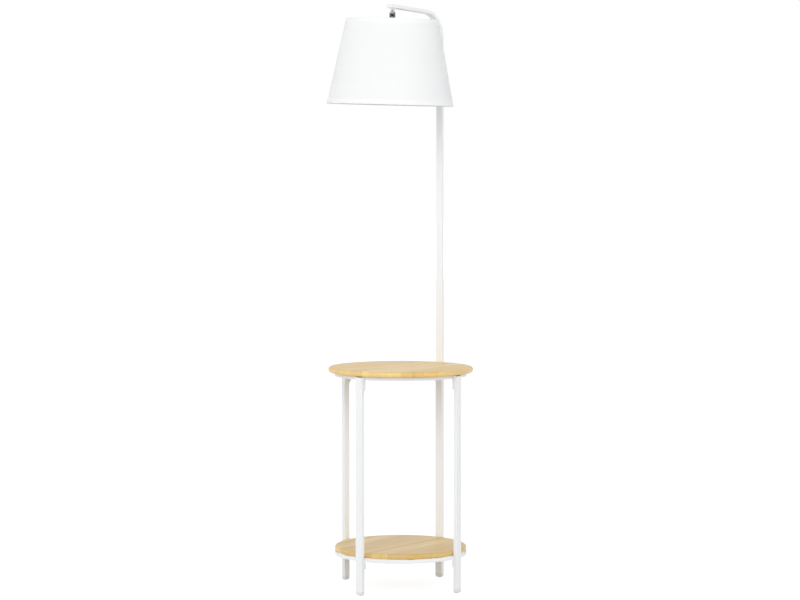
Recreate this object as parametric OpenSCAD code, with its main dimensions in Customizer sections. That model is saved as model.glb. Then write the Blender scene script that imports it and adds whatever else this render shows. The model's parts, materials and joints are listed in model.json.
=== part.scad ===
// Floor lamp standing on a two-tier round side table. All lengths are millimetres.
// Origin: on the floor, in the middle of the lamp's own outline seen from above, which
// the shade carries a little past the table. +Z is up, the pole stands at +Y and its arm
// reaches towards -Y.

/* [Table] */
// Diameter of the table top
top_d = 400; // [340:5:480]
// Height of the table top's upper face above the floor
table_h = 612; // [480:1:700]
// Height of the shelf's upper face above the floor
shelf_h = 117; // [90:1:260]
// Thickness of both boards
board_t = 15; // [10:0.5:22]
// Rounding of the boards' edges
board_round = 6.5; // [1:0.5:7]
// Gap between the shelf's rim and the legs
shelf_gap = 1.6; // [0.5:0.1:6]

/* [Legs] */
// Width of the leg tube, along the rim
leg_w = 22; // [18:0.5:30]
// Depth of the leg tube, towards the table's axis
leg_t = 12; // [11:0.5:18]
// Wall of the steel tubes
tube_wall = 1; // [0.8:0.1:1.4]
// Outer corner radius of the steel tubes
tube_corner = 1.5; // [1.4:0.1:2]
// Distance from the table top's rim in to the legs' outer faces
leg_inset = 4; // [2:0.5:12]
// Shadow gap between the short legs and the table top
leg_top_gap = 2; // [1:0.5:6]
// Height of the rear leg, where the pole plugs in
rear_leg_h = 845; // [780:1:1000]
// Height of the foot below the tube
foot_h = 12; // [8:0.5:20]
// Height over which the foot's lower edge is rounded
foot_round = 7; // [3:0.5:7.5]
// Length of the foot's plug inside the tube
foot_plug = 18; // [10:1:30]
// Length of the plug that closes a leg's upper end
leg_plug = 12; // [6:1:16]

/* [Rings] */
// Height of the steel hoop under each board
ring_h = 10; // [6:0.5:12]
// Thickness of the hoop
ring_t = 3; // [2:0.5:4.5]
// Thickness of the cradle's back plate at each leg
cradle_t = 3; // [2:0.5:5]
// Thickness of the cradle's cheeks beside the leg
cheek_t = 1.5; // [1:0.1:3]
// How far the cheeks reach out along the leg's sides
cheek_reach = 8; // [4:0.5:10]
// Height of the cradles on the upper ring
upper_cradle_h = 38; // [30:1:60]
// Height of the cradles on the lower ring
lower_cradle_h = 29; // [27:1:50]
// Distance from a board's underside down to the leg screws
leg_screw_drop = 20; // [17:0.5:22]
// Thickness of the lugs that hold the boards
lug_t = 2.5; // [1.5:0.5:4]
// Width of the lugs
lug_w = 14; // [11:0.5:20]
// Length of the lugs, inwards from the hoop
lug_l = 17; // [12:0.5:30]

/* [Pole] */
// Height of the arm's underside above the floor, at the lamp's axis
arm_under_h = 1595; // [1350:1:1750]
// Distance from the pole's axis to the lamp's axis
arm_reach = 228; // [226:1:250]
// Angle by which the arm rises towards its tip
arm_rise = 2.8; // [0:0.1:5]
// Radius of the bend on the tube's centreline
bend_r = 73; // [40:1:100]
// Length of the arm past the lamp's axis
arm_past = 14; // [11:0.5:40]
// Length of pole inside the rear leg
pole_insert = 60; // [40:1:90]
// Clearance on each side of the pole inside the rear leg
pole_clear = 0.2; // [0.1:0.05:0.3]
// Distance from the rear leg's top down to the locking screw
pole_screw_drop = 20; // [10:1:30]
// Thickness of the cap that closes the arm
cap_t = 2; // [1:0.5:4]
// Length of that cap's plug inside the arm
cap_plug = 5; // [3:0.5:6]

/* [Cable outlet] */
// Height of the cable outlet above the floor
outlet_h = 60; // [45:1:70]
// Radius of the hole through the grommet
outlet_r = 3.2; // [2.5:0.1:3.4]

/* [Swivel] */
// Diameter of the flange under the arm
flange_d = 16.5; // [14:0.5:20]
// Height of that flange
flange_h = 3; // [2.5:0.5:6]
// Diameter of the neck below the flange
neck_d = 11; // [11:0.5:13]
// Height of the neck
neck_h = 2; // [1.5:0.5:5]
// Radius of the hollow threaded stem
stem_r = 4.9; // [4.5:0.1:4.9]
// Radius of the cable way through the stem
stem_bore_r = 3.4; // [2.5:0.1:3.5]
// Diameter of the swivel fork
fork_d = 16.5; // [15.5:0.5:19]
// Diameter of the fork's neck
fork_neck_d = 11; // [11:0.5:13]
// Height of the fork's neck
fork_neck_h = 4; // [2:0.5:6]
// Height of solid metal at the top of the fork, with its neck
fork_head = 13; // [11:0.5:16]
// Radius of the cross pin
pin_r = 2; // [1.5:0.1:2.4]
// Thickness of the tilting eye between the fork's ears
eye_t = 6.6; // [6:0.2:8]
// Radius of the eye and of the ears around the pin
eye_r = 5.5; // [5:0.1:6]
// Angle by which the swivel is turned about the stem, from its pin lying across the arm
fork_turn = 33; // [-90:1:90]
// Angle by which the head is tilted on that pin, from square to the arm
head_lean = 3.2; // [-5:0.1:5]

/* [Lamp holder] */
// Largest diameter of the holder's cap
holder_cap_d = 43; // [42:0.5:50]
// Height of the holder's cap
holder_cap_h = 18; // [16:0.5:24]
// Diameter of the threaded shell that carries the shade
holder_d = 39.2; // [38.5:0.1:40]
// Length of that shell below the cap
holder_l = 38; // [34:0.5:50]
// Wall of the holder's plastic parts
holder_wall = 1.6; // [1.2:0.1:1.8]
// Outer diameter of the two collars that clamp the shade
collar_d = 56; // [52:0.5:64]
// Height of each collar
collar_h = 4.5; // [3:0.5:6]
// Radius of the bulb's screw base
base_r = 13.1; // [12.5:0.1:13.2]
// Diameter of the bulb
bulb_d = 60; // [45:1:70]
// Length of the bulb from its contact to its end
bulb_l = 108; // [95:1:125]

/* [Shade] */
// Diameter of the shade at its lower rim
shade_bottom_d = 347; // [300:1:352]
// Diameter of the shade at its upper rim
shade_top_d = 252; // [180:1:252]
// Height of the shade along its axis
shade_h = 234; // [190:1:260]
// Distance from the arm's underside down to the shade's upper rim
shade_drop = 30; // [29:0.5:50]
// Thickness of the shade's stiffened fabric
shade_t = 1.2; // [0.8:0.1:2]
// Height of the turned hem at the lower rim
hem_h = 15; // [8:0.5:24]
// How much thicker the hem is
hem_t = 0.5; // [0.2:0.1:1]
// Radius of the wire rings in the shade
wire_r = 1.5; // [1.2:0.1:2.5]
// Radius of the three spokes that carry the shade
spoke_r = 1.8; // [1.5:0.1:2.5]
// Depth of the spokes' hub below the shade's upper rim
hub_drop = 29; // [28.5:0.5:31]

/* [Hidden] */
$fn = 64;

// Clearances
fit = 0.2;         // between parts that only have to slip together
run = 0.08;        // radial, round a shaft that turns
face_gap = 0.2;    // between faces that turn on each other
press = 0.1;       // round a plug pushed into a tube

// Fasteners
screw_r = 1.9;
screw_hole_r = screw_r + fit;
screw_head_r = 3.8;
screw_head_h = 2.2;
screw_socket_r = 1.4;
screw_socket_deep = 1.3;
nut_r = 4.04;
nut_h = 3.2;
nut_bore_r = screw_r + run;
tip_past_nut = 1;
wood_bite = 9;

// Table
top_r = top_d / 2;
leg_r = top_r - leg_inset - leg_t / 2;
leg_in_r = leg_r - leg_t / 2;
shelf_r = leg_in_r - shelf_gap;
top_under = table_h - board_t;
shelf_under = shelf_h - board_t;
leg_top = top_under - leg_top_gap;
notch_clear = 1;
rim_r = min(board_round, board_t / 2 - 0.3);
leg_angles = [-90, 0, 90, 180];    // front, right, rear, left
rear = leg_angles[2];
lug_angles = [45, 135, 225, 315];
lug_hole_in = 8;                   // lug hole's distance in from the hoop
cradle_back_r = leg_in_r - fit - cradle_t;
cradle_foot = 3;                   // depth left at the foot of a tapered cheek

// Swivel: every height below is measured down the stem from the arm's underside
stem_nut_r = 7.4;
stem_nut_h = 3;
stem_washer_r = 7.6;
stem_washer_h = 0.8;
stem_top = tube_wall + face_gap + stem_washer_h + stem_nut_h + 0.6;
fork_top = flange_h + neck_h + face_gap;
fork_slope_h = (fork_d - fork_neck_d) / 2;
fork_wide = fork_top + fork_neck_h + fork_slope_h;
stem_bottom = fork_top + fork_head - 1;
slot_top = fork_top + fork_head;
pin_at = slot_top + eye_r + 0.3;
ear_r = eye_r + 2;
slot_w = eye_t + 2 * face_gap;
boss_top = pin_at + ear_r + 0.7;
boss_r = 7.5;
boss_h = 2.5;
eye_neck_w = 8.4;
wire_hole_r = 2;
wire_slot_r = 1.7;
cap_top = boss_top + boss_h;
thread_l = 6.5;
// How far the head's axis leans towards +Y for each millimetre that it rises
head_up_y = sin(arm_rise) * cos(head_lean)
    - cos(arm_rise) * sin(head_lean) * cos(fork_turn);

// Pole
tube_in_w = leg_w - 2 * tube_wall;
tube_in_t = leg_t - 2 * tube_wall;
pole_w = tube_in_w - 2 * pole_clear;
pole_t = tube_in_t - 2 * pole_clear;
pole_in_w = pole_w - 2 * tube_wall;
pole_in_t = pole_t - 2 * tube_wall;
inner_corner = tube_corner - tube_wall;
pole_foot = rear_leg_h - pole_insert;
pole_screw_h = rear_leg_h - pole_screw_drop;
lamp_out = arm_reach - leg_r;
shade_front = lamp_out + pin_at * sin(arm_rise)
    + (shade_drop + shade_h - pin_at) * head_up_y
    + (shade_bottom_d / 2 + hem_t) * sqrt(1 - pow(head_up_y, 2));
table_y = round((max(shade_front, top_r) - top_r) / 2);
pole_y = table_y + leg_r;
lamp_y = pole_y - arm_reach;
axle_y = lamp_y + pole_t / 2 * sin(arm_rise);
axle_z = arm_under_h + pole_t / 2 * cos(arm_rise);
bend_y = pole_y - bend_r;
bend_z = axle_z - (bend_r + (bend_y - axle_y) * sin(arm_rise)) / cos(arm_rise);
bend_turn = 90 - arm_rise;
bend_lap = 0.4;                    // degrees the bend runs on into each straight
bend_thin = 0.03;                  // bending thins the wall by this much
arm_l = (bend_y - axle_y) * cos(arm_rise) - (bend_z - axle_z) * sin(arm_rise);

// Cable outlet
grommet_neck_r = outlet_r + 1.1;
grommet_lip_r = grommet_neck_r + 1.4;
grommet_lip_t = 1.1;

// Lamp holder
cap_hole_r = stem_r + fit;
cap_bottom = cap_top + holder_cap_h;
cap_crown_r = 12;
shell_r = holder_d / 2;
shell_neck_r = holder_cap_d / 2 - holder_wall - fit;
shell_neck_h = 4;
shell_top = cap_bottom + face_gap;
shell_bottom = shell_top + holder_l;
core_r = min(shell_r, shell_neck_r) - holder_wall - fit;
core_top = cap_top + holder_wall + nut_h + thread_l;
core_h = 7;
core_bottom = core_top + core_h;
contact_r = 3;
contact_h = 1.6;
socket_r = base_r + 0.3;
socket_wall = 0.6;
socket_l = 27;
bulb_top = core_bottom + contact_h + face_gap;
base_l = 27;
base_tip_r = 5;
base_tip_h = 4;
bulb_r = bulb_d / 2;
bulb_centre = bulb_top + bulb_l - bulb_r;
bulb_wall = 1;
bulb_neck_r = base_r - 0.2;
ball_steps = 16;

// Shade
shade_top = shade_drop;
shade_bottom = shade_top + shade_h;
shade_top_r = shade_top_d / 2;
shade_bottom_r = shade_bottom_d / 2;
top_wire_at = shade_top + wire_r + 0.8;
bottom_wire_at = shade_bottom - wire_r - 0.8;
hub_top = shade_top + hub_drop;
hub_t = 1.6;
hub_r = collar_d / 2 + 4;
collar_bore_r = shell_r + press;
spoke_count = 3;

function shade_r_at(s) =
    shade_top_r + (shade_bottom_r - shade_top_r) * (s - shade_top) / shade_h;
function wire_ring_r(s) = shade_r_at(s) - shade_t - wire_r - fit;

// ---- Placing ----

module on_table() translate([0, table_y, 0]) children();

module at_leg(angle) on_table() rotate([0, 0, angle]) translate([leg_r, 0, 0]) children();

// The stem's frame: its origin is on the arm's underside, its +Z runs up the stem
module on_stem() translate([0, lamp_y, arm_under_h]) rotate([-arm_rise, 0, 0]) children();

module down(s) translate([0, 0, -s]) children();

// The same frame turned with the swivel: its x runs along the pin
module on_fork() on_stem() rotate([0, 0, fork_turn]) children();

// The tilted frame of the eye, and of the head that hangs on it
module on_eye() on_fork() down(pin_at) rotate([head_lean, 0, 0]) down(-pin_at) children();
module on_head() on_eye() rotate([0, 0, -fork_turn]) children();

// ---- Shared shapes ----

// A rectangle with round corners, x by y
module soft_rect(x, y, r) {
    square([x - 2 * r, y], center = true);
    square([x, y - 2 * r], center = true);
    for (i = [-1, 1], j = [-1, 1])
        translate([i * (x / 2 - r), j * (y / 2 - r)]) circle(r);
}

// The tube's wall in section, drawn in by thin on each of its two surfaces
module tube_section(x, y, thin = 0) difference() {
    soft_rect(x - 2 * thin, y - 2 * thin, tube_corner);
    soft_rect(x - 2 * tube_wall + 2 * thin, y - 2 * tube_wall + 2 * thin,
              inner_corner + thin);
}

// A cylinder between two heights down the stem
module stem_disc(from, to, r) down(to) cylinder(h = to - from, r = r);

module stem_tube_part(from, to, r, bore) difference() {
    stem_disc(from, to, r);
    stem_disc(from - 1, to + 1, bore);
}

// Screw with its head's seat at z = 0, the head above and the shank below
module screw(length) difference() {
    union() {
        cylinder(h = screw_head_h, r = screw_head_r);
        translate([0, 0, -length]) cylinder(h = length, r = screw_r);
    }
    translate([0, 0, screw_head_h - screw_socket_deep])
        cylinder(h = screw_socket_deep + 1, r = screw_socket_r, $fn = 6);
}

module hex_nut(r, h, bore) difference() {
    cylinder(h = h, r = r, $fn = 6);
    translate([0, 0, -1]) cylinder(h = h + 2, r = bore);
}

// Turns +Z to point out of the table along a leg's own x
module outward() rotate([0, 90, 0]) children();

// ---- Boards ----

module board(r, z) color([0.88, 0.76, 0.55]) translate([0, table_y, z]) difference() {
    rotate_extrude() {
        square([r - rim_r, board_t]);
        translate([0, rim_r]) square([r, board_t - 2 * rim_r]);
        for (y = [rim_r, board_t - rim_r])
            translate([r - rim_r, y]) circle(rim_r);
    }
    for (a = lug_angles) rotate([0, 0, a])
        translate([shelf_r - ring_t - lug_hole_in, 0, -1])
            cylinder(h = wood_bite + 2, r = screw_r + run);
}

module top_board() difference() {
    board(top_r, top_under);
    color([0.88, 0.76, 0.55]) on_table() rotate([0, 0, rear])
        translate([leg_in_r - notch_clear, -leg_w / 2 - notch_clear, top_under - 1])
            cube([top_r, leg_w + 2 * notch_clear, board_t + 2]);
}

module shelf_board() board(shelf_r, shelf_under);

// ---- Rings ----

// The cheek seen along the rim: full depth at the top, tapered or square below
module cheek_outline(h, taper) {
    reach = cradle_t + cheek_reach;
    polygon(taper
        ? [[0, 0], [reach, 0], [reach, -ring_h], [cradle_foot, -h], [0, -h]]
        : [[0, 0], [reach, 0], [reach, 3 - h], [reach - 3, -h], [0, -h]]);
}

module cradle(h, taper) {
    half = leg_w / 2 + fit;
    for (side = [-1, 1])
        translate([cradle_back_r, side * (half + cheek_t / 2), 0])
            rotate([90, 0, 0])
                linear_extrude(cheek_t, center = true) cheek_outline(h, taper);
    difference() {
        translate([cradle_back_r, -half, -h]) cube([cradle_t, 2 * half, h]);
        translate([cradle_back_r - 1, 0, -leg_screw_drop]) outward()
            cylinder(h = cradle_t + 2, r = screw_hole_r);
    }
}

module lug() difference() {
    translate([shelf_r - ring_t - lug_l, -lug_w / 2, -lug_t])
        cube([lug_l + ring_t / 2, lug_w, lug_t]);
    translate([shelf_r - ring_t - lug_hole_in, 0, -lug_t - 1])
        cylinder(h = lug_t + 2, r = screw_hole_r);
}

module ring(z, cradle_h, taper) color([0.94, 0.94, 0.93]) translate([0, table_y, z]) {
    rotate_extrude() translate([shelf_r - ring_t, -ring_h]) square([ring_t, ring_h]);
    for (a = leg_angles) rotate([0, 0, a]) cradle(cradle_h, taper);
    for (a = lug_angles) rotate([0, 0, a]) lug();
}

module upper_ring() ring(top_under, upper_cradle_h, true);
module lower_ring() ring(shelf_under, lower_cradle_h, false);

// ---- Legs ----

module leg(top) color([0.95, 0.95, 0.94]) difference() {
    translate([0, 0, foot_h]) linear_extrude(top - foot_h) tube_section(leg_t, leg_w);
    for (z = [top_under, shelf_under])
        translate([-leg_t, 0, z - leg_screw_drop]) outward()
            cylinder(h = leg_t, r = screw_hole_r);
}

module front_leg() at_leg(leg_angles[0]) leg(leg_top);
module right_leg() at_leg(leg_angles[1]) leg(leg_top);
module left_leg() at_leg(leg_angles[3]) leg(leg_top);

module rear_leg() difference() {
    at_leg(rear) leg(rear_leg_h);
    color([0.95, 0.95, 0.94]) at_leg(rear) {
        translate([0, 0, pole_screw_h]) outward()
            cylinder(h = leg_t, r = screw_hole_r);
        translate([0, 0, outlet_h]) outward()
            cylinder(h = leg_t, r = grommet_neck_r + press);
    }
}

// How far the foot's side is drawn in at a share u of the rounded height
function foot_draw(u, most) = most * (1 - sqrt(1 - pow(1 - u, 2)));

module foot(angle) color([0.86, 0.86, 0.85]) at_leg(angle) {
    slice = 0.01;
    hull() {
        for (u = [0, 0.12, 0.3, 0.6, 1])
            translate([0, 0, u * foot_round]) linear_extrude(slice)
                soft_rect(leg_t - 2 * foot_draw(u, leg_t * 0.36),
                          leg_w - 2 * foot_draw(u, leg_t * 0.5), tube_corner, $fn = 24);
        translate([0, 0, foot_h - slice]) linear_extrude(slice)
            soft_rect(leg_t, leg_w, tube_corner, $fn = 24);
    }
    translate([0, 0, foot_h]) linear_extrude(foot_plug)
        soft_rect(tube_in_t - 2 * press, tube_in_w - 2 * press, inner_corner);
}

module front_foot() foot(leg_angles[0]);
module right_foot() foot(leg_angles[1]);
module rear_foot() foot(rear);
module left_foot() foot(leg_angles[3]);

module top_plug(angle) color([0.2, 0.2, 0.2]) at_leg(angle)
    translate([0, 0, leg_top - leg_plug]) linear_extrude(leg_plug)
        soft_rect(tube_in_t - 2 * press, tube_in_w - 2 * press, inner_corner);

module front_leg_plug() top_plug(leg_angles[0]);
module right_leg_plug() top_plug(leg_angles[1]);
module left_leg_plug() top_plug(leg_angles[3]);

// ---- Fasteners ----

module leg_screws(z) color([0.75, 0.75, 0.76]) for (a = leg_angles)
    at_leg(a) translate([cradle_back_r - leg_r, 0, z - leg_screw_drop]) rotate([0, -90, 0])
        screw(cradle_t + fit + tube_wall + nut_h + tip_past_nut);

module upper_leg_screws() leg_screws(top_under);
module lower_leg_screws() leg_screws(shelf_under);

module leg_nuts() color([0.7, 0.7, 0.7]) for (a = leg_angles, z = [top_under, shelf_under])
    at_leg(a) translate([tube_wall - leg_t / 2, 0, z - leg_screw_drop]) outward()
        hex_nut(nut_r, nut_h, nut_bore_r);

module board_screws(z) color([0.75, 0.75, 0.76]) on_table() for (a = lug_angles)
    rotate([0, 0, a]) translate([shelf_r - ring_t - lug_hole_in, 0, z - lug_t])
        rotate([180, 0, 0]) screw(lug_t + wood_bite);

module top_board_screws() board_screws(top_under);
module shelf_board_screws() board_screws(shelf_under);

// ---- Pole and arm ----

module upper_pole() color([0.95, 0.95, 0.94]) difference() {
    union() {
        translate([0, pole_y, pole_foot]) linear_extrude(bend_z - pole_foot)
            tube_section(pole_w, pole_t);
        translate([0, bend_y, bend_z]) rotate([90, 0, 90]) rotate([0, 0, -bend_lap])
            rotate_extrude(angle = bend_turn + 2 * bend_lap) translate([bend_r, 0])
                tube_section(pole_t, pole_w, bend_thin);
        on_stem() translate([0, -arm_past + cap_t, pole_t / 2]) rotate([-90, 0, 0])
            linear_extrude(arm_l + arm_past - cap_t) tube_section(pole_w, pole_t);
    }
    translate([0, pole_y, pole_screw_h]) rotate([-90, 0, 0])
        cylinder(h = pole_t, r = screw_hole_r);
    on_stem() translate([0, 0, -1]) cylinder(h = pole_t / 2 + 1, r = stem_r + run);
}

module arm_end_cap() color([0.97, 0.97, 0.96]) on_stem()
    translate([0, -arm_past, pole_t / 2]) rotate([-90, 0, 0]) {
        linear_extrude(cap_t) soft_rect(pole_w, pole_t, tube_corner);
        translate([0, 0, cap_t]) linear_extrude(cap_plug - cap_t)
            soft_rect(pole_in_w - 2 * press, pole_in_t - 2 * press, inner_corner);
    }

module pole_screw() color([0.75, 0.75, 0.76])
    translate([0, pole_y + leg_t / 2, pole_screw_h]) rotate([-90, 0, 0])
        screw(2 * tube_wall + pole_clear + nut_h);

module pole_nut() color([0.7, 0.7, 0.7])
    translate([0, pole_y + pole_in_t / 2, pole_screw_h]) rotate([90, 0, 0])
        hex_nut(nut_r, nut_h, nut_bore_r);

module cable_grommet() color([0.85, 0.85, 0.84])
    translate([0, pole_y + leg_t / 2, outlet_h]) rotate([-90, 0, 0]) difference() {
        union() {
            cylinder(h = grommet_lip_t, r = grommet_lip_r);
            translate([0, 0, -tube_wall]) cylinder(h = tube_wall, r = grommet_neck_r);
            translate([0, 0, -tube_wall - grommet_lip_t])
                cylinder(h = grommet_lip_t, r = grommet_lip_r);
        }
        translate([0, 0, -leg_t / 2]) cylinder(h = leg_t, r = outlet_r);
    }

// ---- Swivel ----

module arm_flange() color([0.95, 0.95, 0.94]) on_stem() difference() {
    union() {
        stem_disc(0, flange_h, flange_d / 2);
        stem_disc(flange_h, flange_h + neck_h, neck_d / 2);
    }
    stem_disc(-1, flange_h + neck_h + 1, stem_r + run);
}

module stem_tube() color([0.72, 0.7, 0.62]) on_stem()
    stem_tube_part(-stem_top, stem_bottom, stem_r, stem_bore_r);

module stem_washer() color([0.7, 0.7, 0.7]) on_stem()
    translate([0, 0, tube_wall + face_gap]) difference() {
        cylinder(h = stem_washer_h, r = stem_washer_r);
        translate([0, 0, -1]) cylinder(h = stem_washer_h + 2, r = stem_r + run);
    }

module stem_nut() color([0.7, 0.7, 0.7]) on_stem()
    translate([0, 0, tube_wall + face_gap + stem_washer_h])
        hex_nut(stem_nut_r, stem_nut_h, stem_r + run);

module swivel_fork() color([0.28, 0.28, 0.3]) on_fork() difference() {
    union() {
        stem_disc(fork_top, fork_wide - fork_slope_h, fork_neck_d / 2);
        down(fork_wide) cylinder(h = fork_slope_h, r1 = fork_d / 2, r2 = fork_neck_d / 2);
        stem_disc(fork_wide, pin_at, fork_d / 2);
        intersection() {
            stem_disc(pin_at - 1, pin_at + ear_r, fork_d / 2);
            down(pin_at) outward() cylinder(h = fork_d, r = ear_r, center = true);
        }
    }
    stem_disc(fork_top - 1, slot_top + 1, stem_r + run);
    down(pin_at + ear_r + 1) translate([-slot_w / 2, -fork_d, 0])
        cube([slot_w, 2 * fork_d, pin_at + ear_r + 1 - slot_top]);
    down(pin_at) outward() cylinder(h = 2 * fork_d, r = pin_r + run, center = true);
}

module swivel_pin() color([0.6, 0.6, 0.62]) on_fork() down(pin_at) outward()
    cylinder(h = fork_d - 1, r = pin_r, center = true);

module swivel_eye() color([0.28, 0.28, 0.3]) on_eye() difference() {
    union() {
        down(pin_at) outward() cylinder(h = eye_t, r = eye_r, center = true);
        down(boss_top) translate([-eye_t / 2, -eye_neck_w / 2, 0])
            cube([eye_t, eye_neck_w, boss_top - pin_at]);
        stem_disc(boss_top, cap_top, boss_r);
        stem_disc(cap_top, cap_top + thread_l, stem_r);
    }
    down(pin_at) outward() cylinder(h = 2 * fork_d, r = pin_r + run, center = true);
    stem_disc(boss_top - wire_hole_r, cap_top + thread_l + 1, wire_hole_r);
    down(boss_top - wire_hole_r) rotate([90, 0, 0])
        cylinder(h = fork_d, r = wire_slot_r, center = true);
}

// ---- Lamp holder and bulb ----

// The cap's side outline: radius and height down the stem, with a curved shoulder
module cap_solid(shrink) {
    r = holder_cap_d / 2 - shrink;
    shoulder = r - cap_crown_r + shrink;
    rotate_extrude() {
        translate([0, -cap_bottom]) square([r, holder_cap_h - shoulder]);
        translate([0, -cap_bottom]) square([r - shoulder, holder_cap_h - shrink]);
        intersection() {
            translate([r - shoulder, shoulder - shrink - cap_top - shoulder * 2])
                circle(shoulder);
            translate([0, -cap_bottom]) square([r, holder_cap_h]);
        }
    }
}

module holder_cap() color([0.95, 0.95, 0.94]) on_head() difference() {
    cap_solid(0);
    cap_solid(holder_wall);
    stem_disc(cap_top - 1, cap_top + holder_wall + 1, cap_hole_r);
}

module holder_nut() color([0.7, 0.7, 0.7]) on_head() down(cap_top + holder_wall + nut_h)
    hex_nut(stem_nut_r, nut_h, stem_r + run);

module holder_shell() color([0.95, 0.95, 0.94]) on_head() difference() {
    union() {
        stem_disc(shell_top - shell_neck_h, shell_top, min(shell_neck_r, shell_r));
        stem_disc(shell_top, shell_bottom, shell_r);
    }
    stem_disc(shell_top - shell_neck_h - 1, shell_bottom + 1,
              min(shell_neck_r, shell_r) - holder_wall);
}

module holder_core() color([0.9, 0.88, 0.82]) on_head()
    stem_disc(core_top, core_bottom, core_r);

module centre_contact() color([0.8, 0.65, 0.3]) on_head()
    stem_disc(core_bottom, core_bottom + contact_h, contact_r);

module screw_shell() color([0.8, 0.65, 0.3]) on_head()
    stem_tube_part(core_bottom, core_bottom + socket_l, socket_r + socket_wall, socket_r);

module collar(at) color([0.95, 0.95, 0.94]) on_head()
    stem_tube_part(at, at + collar_h, collar_d / 2, collar_bore_r);

module upper_collar() collar(hub_top - collar_h);
module lower_collar() collar(hub_top + hub_t);

module bulb_base() color([0.75, 0.75, 0.74]) on_head() {
    down(bulb_top + base_tip_h) cylinder(h = base_tip_h, r1 = base_r, r2 = base_tip_r);
    stem_disc(bulb_top + base_tip_h, bulb_top + base_l, base_r);
}

// Where the bulb's straight neck meets its ball, as an angle from the upper pole
function neck_angle(r, neck) = let (rise = bulb_centre - bulb_top - base_l)
    atan2(neck, rise) + acos(r / norm([neck, rise]));

// The ball's outline from the neck to its lower end, as [radius, height]
function ball_outline(r, neck) = let (first = neck_angle(r, neck))
    [for (i = [0:ball_steps]) let (a = first + (180 - first) * i / ball_steps)
        [r * sin(a), r * cos(a) - bulb_centre]];

function reversed(points) = [for (i = [len(points) - 1:-1:0]) points[i]];

module bulb_glass() color([0.97, 0.97, 0.95]) on_head() rotate_extrude()
    polygon(concat(
        [[bulb_neck_r, -bulb_top - base_l]],
        ball_outline(bulb_r, bulb_neck_r),
        reversed(ball_outline(bulb_r - bulb_wall, bulb_neck_r - bulb_wall)),
        [[bulb_neck_r - bulb_wall, -bulb_top - base_l]]));

// ---- Shade ----

module shade_fabric() color([0.98, 0.98, 0.97]) on_head() rotate_extrude()
    polygon([[shade_top_r - shade_t, -shade_top],
             [shade_top_r, -shade_top],
             [shade_r_at(shade_bottom - hem_h), hem_h - shade_bottom],
             [shade_r_at(shade_bottom - hem_h) + hem_t, hem_h - shade_bottom],
             [shade_bottom_r + hem_t, -shade_bottom],
             [shade_bottom_r - shade_t, -shade_bottom]]);

module wire_ring(at) down(at) rotate_extrude() translate([wire_ring_r(at), 0]) circle(wire_r);

// A round rod from radius r1 at height s1 to a wire at radius r2 and height s2 down the stem
module spoke(r1, s1, r2, s2) {
    length = norm([r2 - r1, s2 - s1]) - wire_r - press;
    translate([r1, 0, -s1]) rotate([0, 90 + atan2(s2 - s1, r2 - r1), 0])
        cylinder(h = length, r = spoke_r);
}

module shade_top_ring() color([0.93, 0.93, 0.92]) on_head() wire_ring(top_wire_at);

module shade_spider() color([0.93, 0.93, 0.92]) on_head() {
    stem_tube_part(hub_top, hub_top + hub_t, hub_r, collar_bore_r);
    for (i = [0:spoke_count - 1]) rotate([0, 0, 90 + i * 360 / spoke_count])
        spoke(hub_r - spoke_r, hub_top + hub_t / 2, wire_ring_r(top_wire_at), top_wire_at);
}

module shade_bottom_ring() color([0.93, 0.93, 0.92]) on_head() wire_ring(bottom_wire_at);

top_board();
shelf_board();
upper_ring();
lower_ring();
front_leg();
right_leg();
rear_leg();
left_leg();
front_foot();
right_foot();
rear_foot();
left_foot();
front_leg_plug();
right_leg_plug();
left_leg_plug();
upper_leg_screws();
lower_leg_screws();
leg_nuts();
top_board_screws();
shelf_board_screws();
upper_pole();
pole_screw();
pole_nut();
arm_end_cap();
cable_grommet();
arm_flange();
stem_tube();
stem_nut();
stem_washer();
swivel_fork();
swivel_pin();
swivel_eye();
holder_cap();
holder_nut();
holder_shell();
holder_core();
centre_contact();
screw_shell();
upper_collar();
lower_collar();
shade_fabric();
shade_top_ring();
shade_spider();
shade_bottom_ring();
bulb_glass();
bulb_base();
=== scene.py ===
"""Dresses the floor lamp with table: a finish for every solid, and finer pieces over the plain ones.

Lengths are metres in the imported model's own frame. The origin is on the floor in the middle of the
lamp's outline seen from above, +Z is up, the pole stands at +Y and its arm reaches towards -Y.
"""

import json
import math

import bmesh
import bpy
from mathutils import Matrix, Vector


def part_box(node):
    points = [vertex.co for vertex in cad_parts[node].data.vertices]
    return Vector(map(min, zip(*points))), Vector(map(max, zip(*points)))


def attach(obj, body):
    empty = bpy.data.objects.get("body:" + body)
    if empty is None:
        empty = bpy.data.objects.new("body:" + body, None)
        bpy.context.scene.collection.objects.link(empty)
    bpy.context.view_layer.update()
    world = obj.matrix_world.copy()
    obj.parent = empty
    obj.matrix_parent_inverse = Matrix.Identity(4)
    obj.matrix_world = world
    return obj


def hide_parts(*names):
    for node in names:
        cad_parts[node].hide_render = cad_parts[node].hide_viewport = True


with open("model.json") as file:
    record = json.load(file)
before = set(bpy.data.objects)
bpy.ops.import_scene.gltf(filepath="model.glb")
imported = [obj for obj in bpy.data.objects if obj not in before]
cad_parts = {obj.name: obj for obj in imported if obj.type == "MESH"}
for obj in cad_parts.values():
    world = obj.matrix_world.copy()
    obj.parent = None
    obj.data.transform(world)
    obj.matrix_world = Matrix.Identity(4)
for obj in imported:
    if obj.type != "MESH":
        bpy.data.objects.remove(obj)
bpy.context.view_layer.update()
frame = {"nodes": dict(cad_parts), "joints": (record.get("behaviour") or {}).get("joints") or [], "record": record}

MM = 0.001
TURN = 2 * math.pi

# ---- Where things are, read from the frame ----

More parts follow.
